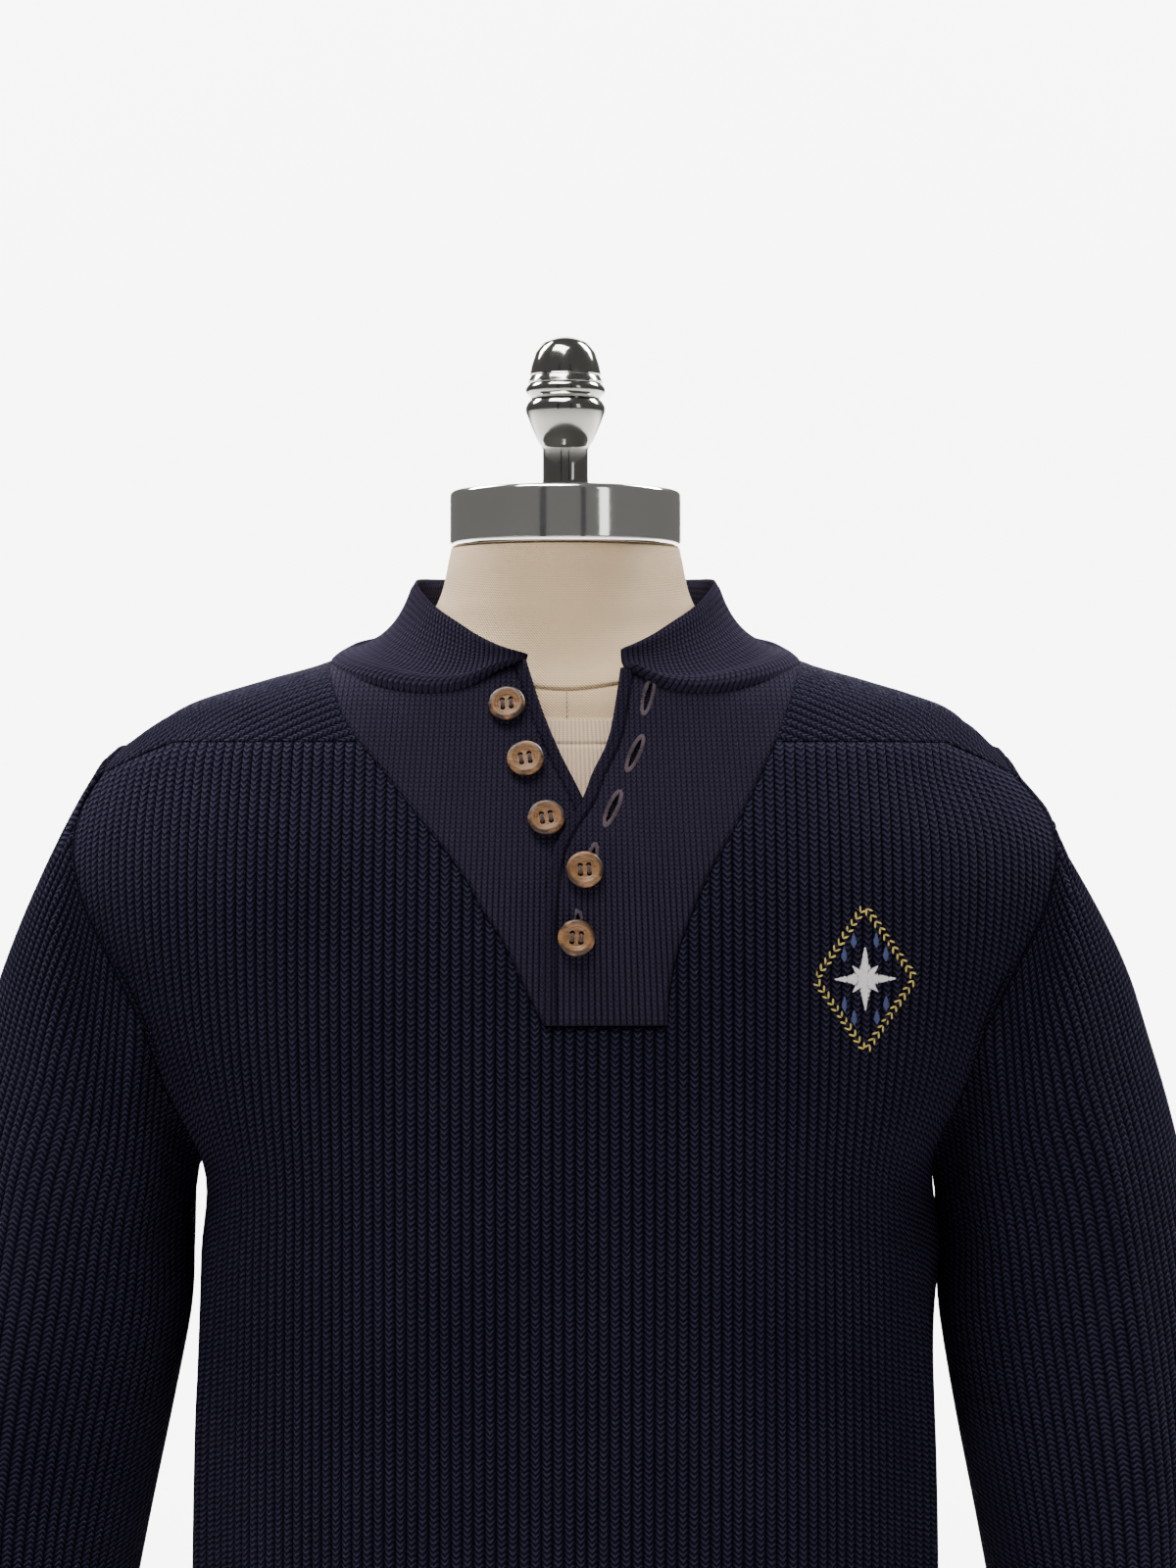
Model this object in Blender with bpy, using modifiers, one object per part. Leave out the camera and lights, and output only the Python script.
"""Ribbed henley sweater worn by a limbless dress form on a short stand.

Metres, +Z up, front towards -Y, origin under the middle of the stand's base.
"""

import math

import bmesh
import bpy
import numpy as np
from mathutils import Vector

# Driving sizes of the knitted cloth
CLOTH = 0.0020
FINE_CLOTH = 0.0022
RIB_RELIEF = 0.0012
RIB_PITCH = 0.0124
SEAM_GAP = 0.0004
SHOULDER_GAP = 0.0008
HEM_TOP = 0.222
HEM_END = 0.160
PIT = 0.610
TIP = 0.805
SADDLE = 0.820
YOKE_BOTTOM = 0.685
CUFF_TOP = 0.241
CUFF_END = 0.180

# Driving sizes of the dress form and its stand
FORM_BOTTOM = 0.146
CAP_RADIUS = 0.0595
CAP_BOTTOM = 0.920
CAP_TOP = 0.9495
POLE_RADIUS = 0.0125
BASE_RADIUS = 0.150
BASE_HEIGHT = 0.012
COLLET_RADIUS = 0.024
COLLET_TOP = 0.034

BUTTON_RADIUS = 0.0097
BUTTON_HEIGHT = 0.0036

# The worn body of the sweater, inside face: level sections up the figure
BODY = {
    "height": (0.150, 0.222, 0.330, 0.450, 0.560, 0.610, 0.650, 0.675, 0.700, 0.725, 0.757,
               0.780, 0.800, 0.810, 0.820, 0.830, 0.840, 0.850, 0.860, 0.875),
    "half_width": (0.176, 0.186, 0.187, 0.186, 0.182, 0.181, 0.205, 0.221, 0.235, 0.246, 0.252,
                   0.248, 0.238, 0.231, 0.220, 0.206, 0.188, 0.156, 0.121, 0.098),
    "front": (0.124, 0.131, 0.127, 0.125, 0.134, 0.137, 0.137, 0.136, 0.134, 0.131, 0.124,
              0.117, 0.109, 0.105, 0.101, 0.097, 0.093, 0.089, 0.085, 0.078),
    "back": (0.116, 0.122, 0.112, 0.110, 0.118, 0.121, 0.123, 0.123, 0.121, 0.117, 0.111,
             0.105, 0.099, 0.096, 0.093, 0.090, 0.087, 0.085, 0.083, 0.080),
    "squareness": (2.35, 2.35, 2.35, 2.35, 2.35, 2.35, 2.2, 2.15, 2.1, 2.05, 2.0,
                   1.95, 1.9, 1.88, 1.86, 1.85, 1.85, 1.88, 1.95, 2.0),
}

# Armhole seam, from the underarm up to the shoulder tip
ARMHOLE = {
    "height": (0.610, 0.628, 0.652, 0.675, 0.700, 0.725, 0.757, 0.785, 0.805),
    "half_width": (0.181, 0.187, 0.197, 0.203, 0.214, 0.231, 0.2435, 0.2425, 0.2315),
}

# Seams of the fine-rib yoke, and the two placket edges, as seen from the front
LEFT_SEAM = {
    "height": (0.685, 0.705, 0.726, 0.738, 0.753, 0.769, 0.781, 0.792, 0.808, 0.820, 0.832,
               0.846, 0.861),
    "across": (-0.010, -0.0197, -0.030, -0.038, -0.0465, -0.058, -0.068, -0.077, -0.0894,
               -0.100, -0.108, -0.114, -0.119),
}
RIGHT_SEAM = {
    "height": (0.685, 0.690, 0.715, 0.736, 0.759, 0.772, 0.785, 0.799, 0.823, 0.846, 0.861),
    "across": (0.049, 0.0492, 0.053, 0.0606, 0.071, 0.0786, 0.086, 0.093, 0.104, 0.113, 0.118),
}
BUTTON_EDGE = {
    "height": (0.685, 0.740, 0.770, 0.794, 0.8155, 0.8367, 0.860),
    "across": (0.034, 0.026, 0.018, 0.0085, -0.0023, -0.011, -0.0185),
}
HOLE_EDGE = {
    "height": (0.685, 0.702, 0.727, 0.753, 0.768, 0.778, 0.790, 0.803, 0.821, 0.841, 0.862),
    "across": (-0.0095, -0.010, -0.010, -0.008, -0.005, 0.000, 0.008, 0.013, 0.021, 0.025, 0.028),
}

# Collar, by turn round the neck from the front: its seam, and its free top edge
COLLAR = {
    "turn": (-180, -135, -90, -76, -64, -52, -40, -30, -21, -12),
    "seam_across": (0.0, 0.086, 0.1185, 0.109, 0.096, 0.080, 0.062, 0.046, 0.032, 0.0185),
    "seam_height": (0.872, 0.869, 0.862, 0.856, 0.851, 0.847, 0.8455, 0.848, 0.855, 0.861),
    "top_height": (0.908, 0.907, 0.9035, 0.900, 0.894, 0.887, 0.8795, 0.8725, 0.867, 0.8635),
    "top_radius": (0.080, 0.078, 0.0765, 0.077, 0.078, 0.0795, 0.081, 0.083, 0.0845, 0.0855),
}
COLLAR_CLOTH = 0.0030
COLLAR_ENDS = (-12.0, 19.0)
COLLAR_ROLL = {
    "row": (0.0, 0.10, 0.25, 0.45, 0.72, 1.0),
    "lift": (0.0, 0.0036, 0.0016, -0.0022, -0.0030, 0.0),
}

# Sleeve guides: its outer and inner edges as seen from the front, and its half depth
SLEEVE = {
    "outer_across": (0.288, 0.306, 0.320, 0.329, 0.333, 0.330, 0.321, 0.310, 0.303),
    "outer_height": (0.690, 0.628, 0.560, 0.495, 0.430, 0.365, 0.305, 0.262, 0.241),
    "inner_across": (0.192, 0.1925, 0.193, 0.198, 0.2075, 0.218, 0.228, 0.235, 0.238),
    "inner_height": (0.583, 0.563, 0.532, 0.482, 0.425, 0.362, 0.304, 0.262, 0.241),
    "half_depth": (0.074, 0.077, 0.075, 0.071, 0.066, 0.060, 0.053, 0.043, 0.036),
}

# Sleeve head, from the armhole seam to the first ring: its rows, and how it leaves the seam
HEAD_ROWS = (0.0, 0.22, 0.48, 0.75)
HEAD_AWAY = (0.966, 0.0, -0.259)
HEAD_REACH = (0.010, 0.075)

# Soft folds of a sleeve: turn round it, ring, lift and the two spreads
SLEEVE_FOLDS = {
    "turn": (80, 150, 35, 60, 120, 75, 250, 290, 215),
    "ring": (3.0, 0.5, 4.5, 6.3, 6.6, 5.6, 1.0, 4.5, 6.2),
    "lift": (0.0070, -0.0050, -0.0035, 0.0035, -0.0030, -0.0028, 0.0045, -0.0035, 0.0030),
    "turn_spread": (16, 18, 20, 26, 28, 24, 22, 26, 28),
    "ring_spread": (4.2, 1.3, 1.6, 0.6, 0.6, 0.55, 1.8, 1.2, 0.6),
}

# Rows of the body panels above the underarm, closer together towards the shoulder
UPPER_ROWS = (0.0, 0.19, 0.37, 0.53, 0.67, 0.79, 0.885, 0.955, 1.0)

# Soft folds of the body cloth: where round the half section, how deep and how wide
FOLDS = {
    "share": (0.80, 0.90, -0.80, -0.90, 0.45, -0.38),
    "depth": (0.0045, -0.0040, 0.0045, -0.0040, 0.0016, 0.0014),
    "spread": (0.050, 0.040, 0.045, 0.040, 0.09, 0.08),
    "top": (0.595, 0.600, 0.600, 0.590, 0.560, 0.540),
}

# Dress form under the sweater
FORM = {
    "height": (0.146, 0.222, 0.330, 0.450, 0.560, 0.620, 0.680, 0.730, 0.770, 0.800, 0.820,
               0.830, 0.840, 0.850, 0.860, 0.872, 0.890, 0.919),
    "half_width": (0.166, 0.172, 0.163, 0.154, 0.166, 0.172, 0.182, 0.196, 0.204, 0.206, 0.2045,
                   0.1970, 0.1800, 0.1455, 0.106, 0.080, 0.0665, 0.0585),
    "front": (0.114, 0.120, 0.108, 0.104, 0.124, 0.130, 0.130, 0.124, 0.114, 0.104, 0.096,
              0.092, 0.088, 0.0815, 0.0745, 0.0685, 0.063, 0.0585),
    "back": (0.106, 0.112, 0.094, 0.090, 0.108, 0.114, 0.114, 0.108, 0.100, 0.093, 0.088,
             0.085, 0.0812, 0.079, 0.077, 0.070, 0.063, 0.0585),
    "squareness": (2.3, 2.3, 2.3, 2.3, 2.3, 2.3, 2.15, 2.05, 1.95, 1.9, 1.86, 1.85, 1.85, 1.88,
                   1.95, 2.0, 2.0, 2.0),
}

# Turned profile of the knob and its stem, from the top down
KNOB = {
    "height": (1.0285, 1.0275, 1.0247, 1.0196, 1.013, 1.0085, 1.0062, 1.0017, 0.996, 0.9909,
               0.985, 0.9788, 0.9737, 0.9705, 0.9540, 0.9515),
    "radius": (0.0, 0.0062, 0.0120, 0.0155, 0.0175, 0.0186, 0.0196, 0.0206, 0.0182, 0.0205,
               0.0183, 0.0160, 0.0134, 0.0116, 0.0116, 0.0130),
}

# Buttons: place across and up the front, and whether they lie on the button side
BUTTONS = {
    "across": (-0.0275, -0.0185, -0.0095, 0.0087, 0.0060),
    "height": (0.8395, 0.8125, 0.7840, 0.7590, 0.7265),
    "on_top": (False, False, False, True, True),
}

NAVY = (0.032, 0.030, 0.052)
FINE_NAVY = (0.045, 0.042, 0.068)
CREAM = (0.62, 0.52, 0.38)
STEEL = (0.62, 0.62, 0.60)
HORN = (0.46, 0.25, 0.11)


def clear_scene():
    for thing in list(bpy.data.objects):
        bpy.data.objects.remove(thing)


def make_material(name, colour, roughness, metallic=0.0):
    material = bpy.data.materials.new(name)
    material.use_nodes = True
    shader = material.node_tree.nodes["Principled BSDF"]
    shader.inputs["Base Color"].default_value = (*colour, 1.0)
    shader.inputs["Roughness"].default_value = roughness
    shader.inputs["Metallic"].default_value = metallic
    return material


def along(table, column, value, key="height"):
    """Smooth value of a table's column between its rows."""
    places = np.asarray(table[key], float)
    values = np.asarray(table[column], float)
    slopes = np.gradient(values, places)
    at = float(np.clip(value, places[0], places[-1]))
    row = int(np.clip(np.searchsorted(places, at) - 1, 0, len(places) - 2))
    span = places[row + 1] - places[row]
    t = (at - places[row]) / span
    start, end = values[row], values[row + 1]
    hold = (2 * t**3 - 3 * t**2 + 1) * start + (3 * t**2 - 2 * t**3) * end
    lean = (t**3 - 2 * t**2 + t) * slopes[row] + (t**3 - t**2) * slopes[row + 1]
    return float(hold + lean * span)


def smooth_step(value):
    t = min(1.0, max(0.0, value))
    return t * t * (3 - 2 * t)


class Quarter:
    """A quarter of a level section: arc length from the middle, across and depth."""

    kept = {}

    def __init__(self, height, front):
        turn = np.linspace(0.0, math.pi / 2, 97)
        power = 2 / along(BODY, "squareness", height)
        self.across = along(BODY, "half_width", height) * np.sin(turn) ** power
        deep = along(BODY, "front" if front else "back", height)
        self.depth = deep * np.clip(np.cos(turn), 0, 1) ** power
        steps = np.hypot(np.diff(self.across), np.diff(self.depth))
        self.arc = np.concatenate([[0.0], np.cumsum(steps)])
        self.length = float(self.arc[-1])


def quarter(height, front):
    key = (round(height, 6), front)
    if key not in Quarter.kept:
        Quarter.kept[key] = Quarter(*key)
    return Quarter.kept[key]


def arc_at(across, height, front=True):
    """Signed arc length, from the middle of the front or back, of a place across."""
    section = quarter(height, front)
    return math.copysign(float(np.interp(abs(across), section.across, section.arc)), across)


def on_body(arc, height, front=True):
    """Point of the cloth's inside face; an arc past the side goes on round it."""
    section = quarter(height, front)
    side = math.copysign(1.0, arc)
    reach = abs(arc)
    sign = -1.0 if front else 1.0
    if reach > section.length:
        other = quarter(height, not front)
        reach = other.length - (reach - section.length)
        section, sign = other, -sign
    across = float(np.interp(reach, section.arc, section.across))
    depth = float(np.interp(reach, section.arc, section.depth))
    return Vector((side * across, sign * depth, height))


def fold_at(arc, height, front):
    """How far the soft folds lift the cloth, fading out above each fold's top."""
    share = arc / quarter(height, front).length
    lift = 0.0
    for place, depth, spread, top in zip(
        FOLDS["share"], FOLDS["depth"], FOLDS["spread"], FOLDS["top"]
    ):
        fade = smooth_step((top - height) / 0.12) * smooth_step((height - HEM_TOP) / 0.10)
        lift += depth * fade * math.exp(-(((share - place) / spread) ** 2))
    return lift


def body_normal(arc, height, front=True):
    """Outward direction of the body surface."""
    step = 0.0015
    low, high = max(BODY["height"][0], height - step), height + step
    across = on_body(arc + step, height, front) - on_body(arc - step, height, front)
    upward = on_body(arc, high, front) - on_body(arc, low, front)
    normal = across.cross(upward).normalized()
    outward = on_body(arc, height, front) * Vector((1, 1, 0))
    if normal.dot(outward + Vector((0, 0, 0.01))) < 0:
        normal.negate()
    return normal


def cloth_point(arc, height, front, lift):
    """Point at a given lift over the cloth's inside face, with the soft folds."""
    rise = lift + fold_at(arc, height, front)
    return on_body(arc, height, front) + body_normal(arc, height, front) * rise


def knit_wall(name, point, columns, rows, thickness, relief, material, ribs=1, closed=False):
    """A wall of cloth: a ribbed outside over a plain inside, sewn shut at its edges.

    point(s, t, lift) gives places on the cloth, columns and rows are its shares,
    and each column holds that many ribs on the outside.
    """
    mesh = bmesh.new()
    strands = 2 * ribs if relief else ribs
    fine = []
    for start, end in zip(columns[:-1], columns[1:]):
        fine += [start + (end - start) * k / strands for k in range(strands)]
    if not closed:
        fine.append(columns[-1])
    plain = columns[:-1] if closed else columns
    heights = [thickness + (relief if relief and k % 2 else 0.0) for k in range(len(fine))]
    outer = [
        [mesh.verts.new(point(s, t, lift)) for s, lift in zip(fine, heights)] for t in rows
    ]
    inner = [[mesh.verts.new(point(s, t, 0.0)) for s in plain] for t in rows]
    cells = len(columns) - 1

    def pick(line, index):
        return line[index % len(line)] if closed else line[index]

    for low in range(len(rows) - 1):
        for k in range(cells * strands):
            mesh.faces.new((
                pick(outer[low], k), pick(outer[low], k + 1),
                pick(outer[low + 1], k + 1), pick(outer[low + 1], k),
            ))
        for k in range(cells):
            mesh.faces.new((
                pick(inner[low], k + 1), pick(inner[low], k),
                pick(inner[low + 1], k), pick(inner[low + 1], k + 1),
            ))
        if not closed:
            for edge in (0, -1):
                mesh.faces.new((
                    outer[low][edge], outer[low + 1][edge],
                    inner[low + 1][edge], inner[low][edge],
                ))
    for edge in (0, -1):
        for k in range(cells):
            rim = [pick(outer[edge], k * strands + j) for j in range(strands + 1)]
            mesh.faces.new((pick(inner[edge], k + 1), pick(inner[edge], k), *rim))
    bmesh.ops.recalc_face_normals(mesh, faces=mesh.faces)
    return finish_mesh(mesh, name, material)


def finish_mesh(mesh, name, material, smooth=True):
    data = bpy.data.meshes.new(name)
    mesh.to_mesh(data)
    mesh.free()
    if smooth:
        data.shade_smooth()
        data.set_sharp_from_angle(angle=math.radians(50))
    data.materials.append(material)
    thing = bpy.data.objects.new(name, data)
    PART.objects.link(thing)
    return thing


def shares(count, start=0.0, end=1.0):
    return [start + (end - start) * k / count for k in range(count + 1)]


def panel_rows():
    """Rows of a body panel: heights up to the underarm, then 1 plus an upper row."""
    return shares(4, HEM_TOP + SEAM_GAP, PIT) + [1.0 + row for row in UPPER_ROWS[1:]]


def panel_width(height, front):
    """Half width of a body panel along the cloth: to the side seam or the armhole."""
    if height <= PIT:
        return quarter(height, front).length - SEAM_GAP / 2
    level = min(height, TIP)
    edge = along(ARMHOLE, "half_width", level)
    return arc_at(edge, level, front) - SEAM_GAP / 2


def seam_share(table, height, gap):
    """Share of the front panel's half width at which a yoke seam lies."""
    across = along(table, "across", height)
    return (arc_at(across, height) + math.copysign(gap, across)) / panel_width(height, True)


def saddle_seam(share):
    """Height of the seam between the front and the shoulder saddle."""
    return SADDLE - (SADDLE - TIP) * max(0.0, abs(share) - 0.80) / 0.20


def front_top(share):
    """Height at which a column of the front panel ends."""
    table = RIGHT_SEAM if share > 0 else LEFT_SEAM
    low = YOKE_BOTTOM - SEAM_GAP
    heights = np.linspace(YOKE_BOTTOM, SADDLE, 40)
    seam = [abs(seam_share(table, h, SEAM_GAP)) for h in heights]
    if abs(share) <= seam[0]:
        return low
    if abs(share) < seam[-1]:
        return float(np.interp(abs(share), seam, heights))
    return saddle_seam(share) - SHOULDER_GAP


def add_front():
    left = seam_share(LEFT_SEAM, YOKE_BOTTOM, 0.0)
    right = seam_share(RIGHT_SEAM, YOKE_BOTTOM, 0.0)
    width = panel_width(YOKE_BOTTOM, True)
    columns = []
    for start, end in ((-1.0, left), (left, right), (right, 1.0)):
        ribs = max(1, round((end - start) * width / RIB_PITCH / 2)) * 2
        columns += shares(ribs // 2, start, end)[:-1]
    columns.append(1.0)
    rows = panel_rows()
    tops = {}

    def point(share, row, lift):
        height = row
        if row >= 1.0:
            if share not in tops:
                tops[share] = front_top(share)
            height = PIT + (tops[share] - PIT) * (row - 1.0)
        return cloth_point(share * panel_width(height, True), height, True, lift)

    knit_wall("front_panel", point, columns, rows, CLOTH, RIB_RELIEF, RIBBED, ribs=2)


def collar_turn(turn, column):
    """Collar table value at a turn in degrees from the front, alike on both sides."""
    return along(COLLAR, column, -abs(turn), key="turn")


def collar_seam(front):
    """Arc lengths and heights of the collar seam, from the middle out to the shoulder."""
    turns = shares(30, 90.0, 12.0) if front else shares(30, 90.0, 180.0)
    places = []
    for turn in turns:
        height = collar_turn(turn, "seam_height")
        places.append((arc_at(collar_turn(turn, "seam_across"), height, front), height))
    return sorted(places)


def back_top(share):
    """Height at which a column of the back ends: the shoulder ridge or the neck seam."""
    arc = abs(share) * panel_width(TIP, False)
    neck = collar_seam(False)
    heights = np.linspace(TIP, neck[-1][1], 40)
    ridge = [quarter(h, False).length - SHOULDER_GAP / 2 for h in heights]
    if arc >= ridge[-1]:
        return float(np.interp(-arc, [-r for r in ridge], heights)) - SEAM_GAP
    return float(np.interp(arc, *zip(*neck))) - SHOULDER_GAP


def add_back():
    width = panel_width(PIT, False)
    ribs = round(2 * width / RIB_PITCH / 2)
    columns = shares(ribs, -1.0, 1.0)
    rows = panel_rows()
    tops = {}

    def point(share, row, lift):
        height = row
        if row >= 1.0:
            if share not in tops:
                tops[share] = back_top(share)
            height = PIT + (tops[share] - PIT) * (row - 1.0)
        return cloth_point(share * panel_width(height, False), height, False, lift)

    knit_wall("back_panel", point, columns, rows, CLOTH, RIB_RELIEF, RIBBED, ribs=2)


def add_saddle(name, side):
    """Strip over the front of a shoulder, between front, yoke, collar, ridge and tip."""
    seam = RIGHT_SEAM if side > 0 else LEFT_SEAM
    neck = collar_seam(True)
    inner_low = SADDLE + SEAM_GAP / 2
    corner = yoke_top(seam, seam, 0.0)

    def reach_of(arc, height):
        return arc / quarter(height, True).length

    def inner(row):
        if row <= 0.7:
            height = inner_low + (corner - inner_low) * row / 0.7
            arc = abs(arc_at(along(seam, "across", height), height)) + SEAM_GAP * 2
            return Vector((reach_of(arc, height), height))
        first = abs(arc_at(along(seam, "across", corner), corner)) + SEAM_GAP * 2
        arc = first + (neck[-1][0] - first) * (row - 0.7) / 0.3
        height = float(np.interp(arc, *zip(*neck))) - SHOULDER_GAP * 1.8
        return Vector((reach_of(arc, height), height))

    def low(share):
        front = (1 - share) * abs(seam_share(seam, SADDLE, SEAM_GAP * 2)) + share * 0.995
        height = saddle_seam(front) + SEAM_GAP / 2
        return Vector((reach_of(front * panel_width(height, True), height), height))

    def ridge(share):
        height = inner(1.0).y + (back_top(1.0) - inner(1.0).y) * share
        return Vector((1.0 - SHOULDER_GAP / 2 / quarter(height, True).length, height))

    def point(share, row, lift):
        place = inner(row) * (1 - share) + low(1.0).lerp(ridge(1.0), row) * share
        place += low(share) * (1 - row) + ridge(share) * row
        place -= (inner(0.0) * (1 - share) + low(1.0) * share) * (1 - row)
        place -= (inner(1.0) * (1 - share) + ridge(1.0) * share) * row
        reach = min(ridge(1.0).x, place.x)
        return cloth_point(side * reach * quarter(place.y, True).length, place.y, True, lift)

    knit_wall(name, point, shares(12), [0.0, 0.23, 0.47, 0.7, 0.85, 1.0], CLOTH, 0.0, RIBBED)


def yoke_top(seam, edge, share):
    """Height at which a column of a yoke piece meets the collar seam."""
    neck = collar_seam(True)
    heights = np.linspace(0.840, 0.866, 53)
    best = heights[0]
    for height in heights:
        outer = along(seam, "across", height)
        inner = along(edge, "across", height)
        arc = abs(arc_at(outer + (inner - outer) * share, height))
        if height <= np.interp(arc, *zip(*neck)):
            best = height
    return float(best) - SHOULDER_GAP * 1.8


def overlap_lift(across, height):
    """How far the buttonhole side lies out where it covers the button side."""
    cover = along(BUTTON_EDGE, "across", height) + 0.026
    return (FINE_CLOTH + SEAM_GAP) * smooth_step((cover - across) / 0.016)


def add_yoke(name, seam, edge, over):
    tops = {share: yoke_top(seam, edge, share) for share in shares(10)}

    def place(share, row):
        height = YOKE_BOTTOM + (tops[share] - YOKE_BOTTOM) * row
        outer = along(seam, "across", height)
        inner = along(edge, "across", height)
        return outer + (inner - outer) * share, height

    def point(share, row, lift):
        across, height = place(share, row)
        rise = lift + (overlap_lift(across, height) if over else 0.0)
        return cloth_point(arc_at(across, height), height, True, rise)

    knit_wall(name, point, shares(10), shares(13), FINE_CLOTH, 0.0, FINE, ribs=1)


def collar_point(turn, row, lift):
    """Point of the collar, rolling out at its seam, then leaning in to its top edge."""
    around = math.radians(turn)
    front = abs(turn) < 90
    height = collar_turn(turn, "seam_height")
    across = math.copysign(collar_turn(turn, "seam_across"), turn)
    low = on_body(arc_at(across, height, front), height, front)
    radius = collar_turn(turn, "top_radius")
    outward = Vector((math.sin(around), -math.cos(around), 0))
    high = outward * radius + Vector((0, 0, collar_turn(turn, "top_height")))
    rise = high - low
    leaning = outward * rise.z + Vector((0, 0, -rise.dot(outward)))
    roll = along(COLLAR_ROLL, "lift", row, key="row")
    return low.lerp(high, row) + leaning.normalized() * (lift + roll)


def add_collar():
    left, right = COLLAR_ENDS
    turns = shares(32, right - 360, left)

    def point(turn, row, lift):
        return collar_point(turn if turn > -180 else turn + 360, row, lift)

    rows = [max(row, 0.02) for row in COLLAR_ROLL["row"]]
    knit_wall("collar", point, turns, rows, COLLAR_CLOTH, 0.0, FINE, ribs=1)


def armhole_walk():
    """Row and face of each corner round the armhole: over the tip, down the front, up the back."""
    front = [(row, True) for row in (1.035,) + UPPER_ROWS[::-1]]
    return front + [(row, False) for row in UPPER_ROWS[1:]]


def armhole_corners(side):
    """Corners round the armhole, just off the outside of the cloth that they meet."""
    corners = []
    for row, front in armhole_walk():
        top = front_top(1.0) if front else back_top(1.0)
        height = PIT + (top - PIT) * row + (0.0035 if row == 0.0 else 0.0)
        width = panel_width(height, front)
        if row > 1.0:
            height = (front_top(1.0) + back_top(1.0)) / 2
            tip = panel_width(TIP, True) / quarter(TIP, True).length
            width = quarter(height, True).length * (1 + tip) / 2
        arc = side * (width + SEAM_GAP * 2.5)
        lift = CLOTH + SEAM_GAP + RIB_RELIEF * max(0.0, 1.0 - row)
        corners.append(on_body(arc, height, front) + body_normal(arc, height, front) * lift)
    return corners


def sleeve_turns(ring):
    """Turns round a ring that face the armhole's corners, evening out down the sleeve."""
    walk = armhole_walk()
    even = min(1.0, 0.4 + 0.2 * ring)
    turns = []
    for k, (row, front) in enumerate(walk):
        level = math.acos(2 * min(row, 1.0) - 1)
        if not front:
            level = 2 * math.pi - level
        turns.append(level + (2 * math.pi * k / len(walk) - level) * even)
    return turns + [turns[0] + 2 * math.pi]


def sleeve_fold(turn, ring):
    """Lift of the sleeve's soft folds at a turn in degrees and a ring."""
    lift = 0.0
    for place, level, rise, wide, tall in zip(*(SLEEVE_FOLDS[key] for key in (
            "turn", "ring", "lift", "turn_spread", "ring_spread"))):
        away = (turn - place + 180) % 360 - 180
        lift += rise * math.exp(-((away / wide) ** 2) - ((ring - level) / tall) ** 2)
    return lift


def tube_point(side, turn, ring, lift):
    """Point of a hanging sleeve: an oval between its two guides, with its folds."""
    outer = Vector((SLEEVE["outer_across"][ring], 0, SLEEVE["outer_height"][ring]))
    inner = Vector((SLEEVE["inner_across"][ring], 0, SLEEVE["inner_height"][ring]))
    half = (outer - inner) / 2
    depth = SLEEVE["half_depth"][ring]
    place = (outer + inner) / 2 + half * math.cos(turn) + Vector((0, -depth * math.sin(turn), 0))
    normal = half.normalized() * math.cos(turn) * depth
    normal += Vector((0, -math.sin(turn) * half.length, 0))
    fade = smooth_step((len(SLEEVE["half_depth"]) - 1 - ring) / 1.5)
    place += normal.normalized() * (lift + sleeve_fold(math.degrees(turn), ring) * fade)
    place.x *= side
    return place


def add_sleeve(name, side):
    corners = armhole_corners(side)
    cells = len(corners)
    middle = sum(corners, Vector()) / cells
    away = Vector(HEAD_AWAY) * Vector((side, 1, 1))
    levels = [row for row, front in armhole_walk()]

    def seam_point(share, lift):
        index = min(int(share * cells + 1e-9), cells - 1)
        ends = []
        for k in (index, (index + 1) % cells):
            face = away.cross(corners[(k + 1) % cells] - corners[k - 1]).normalized()
            if face.dot(corners[k] - middle) < 0:
                face.negate()
            ends.append(corners[k] + face * (min(lift, CLOTH) - CLOTH))
        return ends[0].lerp(ends[1], share * cells - index)

    def ring_point(share, ring, lift):
        turn = float(np.interp(share * cells, range(cells + 1), sleeve_turns(ring)))
        return tube_point(side, turn, ring, lift)

    def point(share, row, lift):
        if row >= 1.0:
            return ring_point(share, int(row) - 1, lift)
        start, end = seam_point(share, lift), ring_point(share, 0, lift)
        level = float(np.interp(share * cells, range(cells + 1), levels + levels[:1]))
        leave = away * (HEAD_REACH[0] + (HEAD_REACH[1] - HEAD_REACH[0]) * level)
        hang = (ring_point(share, 1, lift) - end).normalized() * (end - start).length
        t = row
        return (start * (2 * t**3 - 3 * t**2 + 1) + leave * (t**3 - 2 * t**2 + t)
                + end * (3 * t**2 - 2 * t**3) + hang * (t**3 - t**2))

    rows = list(HEAD_ROWS) + [1.0 + ring for ring in range(len(SLEEVE["half_depth"]))]
    knit_wall(name, point, shares(cells), rows, CLOTH, RIB_RELIEF, RIBBED, ribs=2, closed=True)


def add_cuff(name, side):
    top = len(SLEEVE["half_depth"]) - 1
    across = (SLEEVE["outer_across"][top] + SLEEVE["inner_across"][top]) / 2
    half_width = (SLEEVE["outer_across"][top] - SLEEVE["inner_across"][top]) / 2
    half_depth = SLEEVE["half_depth"][top]
    lean = -0.004

    def point(share, row, lift):
        turn = 2 * math.pi * share
        snug = 1.0 - 0.10 * math.sin(math.pi * min(1.0, row * 0.6))
        place = Vector((
            across + lean * row + (half_width * snug + lift) * math.cos(turn),
            -(half_depth * snug + lift) * math.sin(turn),
            CUFF_TOP - SEAM_GAP - (CUFF_TOP - SEAM_GAP - CUFF_END) * row,
        ))
        place.x *= side
        return place

    knit_wall(name, point, shares(16), shares(3), CLOTH, RIB_RELIEF * 0.7, FINE, ribs=1,
              closed=True)


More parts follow.
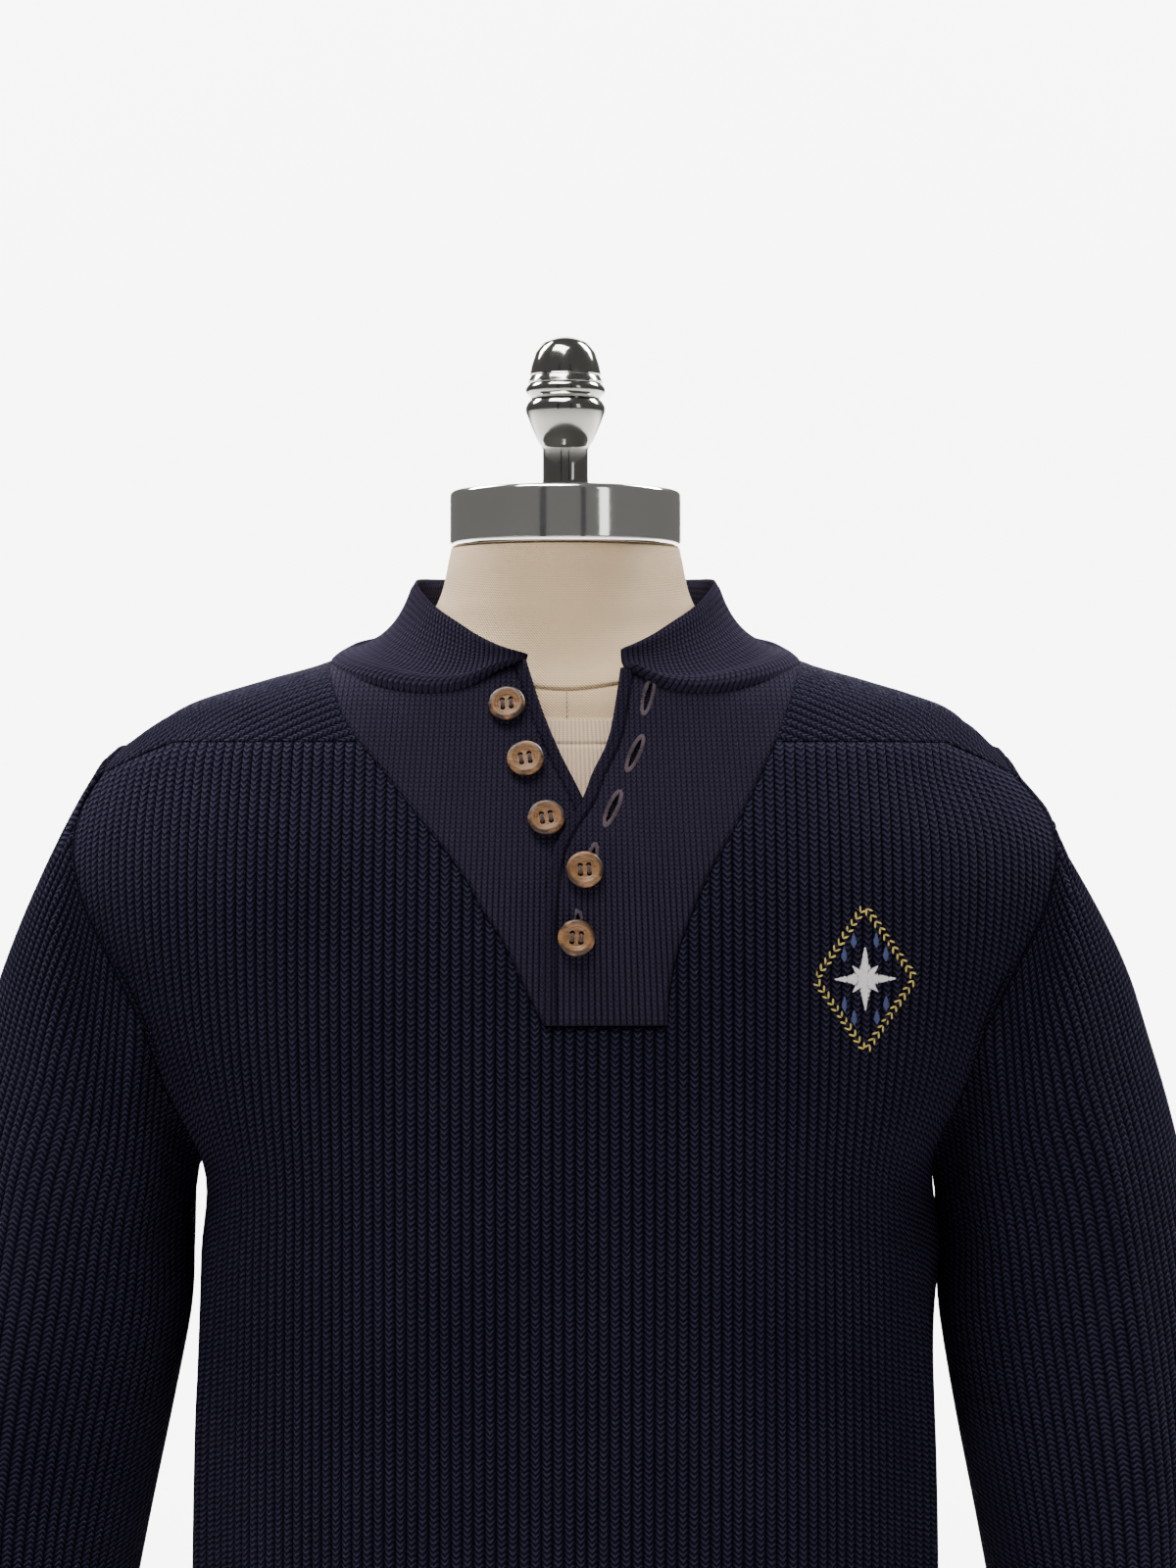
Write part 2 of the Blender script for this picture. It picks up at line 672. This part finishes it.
def add_hem():
    """Rib band round the bottom of the body, in one tube."""

    def point(share, row, lift):
        height = HEM_TOP - SEAM_GAP / 2 - (HEM_TOP - HEM_END) * row
        turn = (share * 4) % 4
        front = turn <= 1 or turn >= 3
        length = quarter(height, front).length
        if turn <= 1:
            arc = turn * length
        elif turn < 3:
            arc = (2 - turn) * length
        else:
            arc = (turn - 4) * length
        return cloth_point(arc, height, front, lift)

    knit_wall("hem_band", point, shares(32), shares(2), CLOTH, RIB_RELIEF * 0.7, FINE, ribs=1,
              closed=True)


def loft_table(name, table, material, levels, sides):
    """Smooth closed solid through level sections of a table."""
    mesh = bmesh.new()
    loops = []
    for height in levels:
        power = 2 / along(table, "squareness", height)
        wide = along(table, "half_width", height)
        loop = []
        for k in range(sides):
            turn = 2 * math.pi * k / sides
            across, depth = math.sin(turn), math.cos(turn)
            deep = along(table, "front" if depth > 0 else "back", height)
            loop.append(mesh.verts.new((
                wide * math.copysign(abs(across) ** power, across),
                -deep * math.copysign(abs(depth) ** power, depth),
                height,
            )))
        loops.append(loop)
    for low, high in zip(loops[:-1], loops[1:]):
        for k in range(sides):
            n = (k + 1) % sides
            mesh.faces.new((low[k], low[n], high[n], high[k]))
    mesh.faces.new(loops[0])
    mesh.faces.new(loops[-1])
    bmesh.ops.recalc_face_normals(mesh, faces=mesh.faces)
    return finish_mesh(mesh, name, material)


def add_turned(name, table, material, steps=24):
    """Turned solid: a profile at +X run down its outer side, swept by a Screw."""
    mesh = bmesh.new()
    points = [mesh.verts.new((r, 0, h)) for h, r in zip(table["height"], table["radius"])]
    for start, end in zip(points[:-1], points[1:]):
        mesh.edges.new((start, end))
    thing = finish_mesh(mesh, name, material, smooth=False)
    screw = thing.modifiers.new("Turned", "SCREW")
    screw.steps = steps
    screw.render_steps = steps
    screw.use_merge_vertices = True
    screw.merge_threshold = 0.00001
    screw.use_smooth_shade = True
    return thing


def add_form():
    levels = [0.146, 0.222, 0.330, 0.450, 0.560, 0.620, 0.680, 0.730, 0.770, 0.800, 0.815,
              0.825, 0.835, 0.845, 0.852, 0.860, 0.866, 0.874, 0.890, 0.905, CAP_BOTTOM - SEAM_GAP]
    loft_table("form_torso", FORM, LINEN, levels, sides=32)
    edge = 0.004
    add_turned("neck_cap", {
        "height": (CAP_TOP, CAP_TOP, CAP_TOP - edge * 0.3, CAP_TOP - edge, CAP_BOTTOM, CAP_BOTTOM),
        "radius": (0.0, CAP_RADIUS - edge, CAP_RADIUS - edge * 0.3, CAP_RADIUS, CAP_RADIUS, 0.0),
    }, CHROME)
    knob = {
        "height": KNOB["height"] + (CAP_TOP + SEAM_GAP, CAP_TOP + SEAM_GAP),
        "radius": KNOB["radius"] + (0.0132, 0.0),
    }
    add_turned("neck_knob", knob, CHROME)
    add_turned("pole", {
        "height": (FORM_BOTTOM - SEAM_GAP, FORM_BOTTOM - SEAM_GAP, COLLET_TOP + SEAM_GAP,
                   COLLET_TOP + SEAM_GAP),
        "radius": (0.0, POLE_RADIUS, POLE_RADIUS, 0.0),
    }, CHROME)
    add_turned("base", {
        "height": (COLLET_TOP, COLLET_TOP, BASE_HEIGHT + 0.004, BASE_HEIGHT, BASE_HEIGHT - 0.003,
                   0.0, 0.0),
        "radius": (0.0, COLLET_RADIUS - 0.004, COLLET_RADIUS, BASE_RADIUS - 0.006, BASE_RADIUS,
                   BASE_RADIUS, 0.0),
    }, CHROME)


def add_buttons():
    profile = {
        "height": (0.0024, 0.0024, BUTTON_HEIGHT, BUTTON_HEIGHT, 0.0026, 0.0010, 0.0, 0.0),
        "radius": (0.0, 0.0058, 0.0072, 0.0086, BUTTON_RADIUS, BUTTON_RADIUS, 0.0076, 0.0),
    }
    for number, (across, height, on_top) in enumerate(
        zip(BUTTONS["across"], BUTTONS["height"], BUTTONS["on_top"]), 1
    ):
        arc = arc_at(across, height)
        lift = FINE_CLOTH + 0.0008
        if on_top:
            lift += overlap_lift(across, height)
        normal = body_normal(arc, height)
        thing = add_turned(f"button_{number}", profile, HORN_BUTTON, steps=16)
        thing.location = cloth_point(arc, height, True, lift)
        thing.rotation_mode = "QUATERNION"
        thing.rotation_quaternion = normal.to_track_quat("Z", "Y")


clear_scene()
PART = bpy.data.collections.new("Henley sweater on dress form")
bpy.context.scene.collection.children.link(PART)
RIBBED = make_material("Navy ribbed knit", NAVY, 0.9)
FINE = make_material("Navy fine rib knit", FINE_NAVY, 0.85)
LINEN = make_material("Cream form cloth", CREAM, 0.8)
CHROME = make_material("Polished steel", STEEL, 0.12, metallic=1.0)
HORN_BUTTON = make_material("Horn button", HORN, 0.4)

add_front()
add_back()
add_saddle("saddle_left", -1)
add_saddle("saddle_right", 1)
add_yoke("yoke_button_side", LEFT_SEAM, BUTTON_EDGE, over=False)
add_yoke("yoke_buttonhole_side", RIGHT_SEAM, HOLE_EDGE, over=True)
add_collar()
add_sleeve("sleeve_left", -1)
add_sleeve("sleeve_right", 1)
add_cuff("cuff_left", -1)
add_cuff("cuff_right", 1)
add_hem()
add_buttons()
add_form()
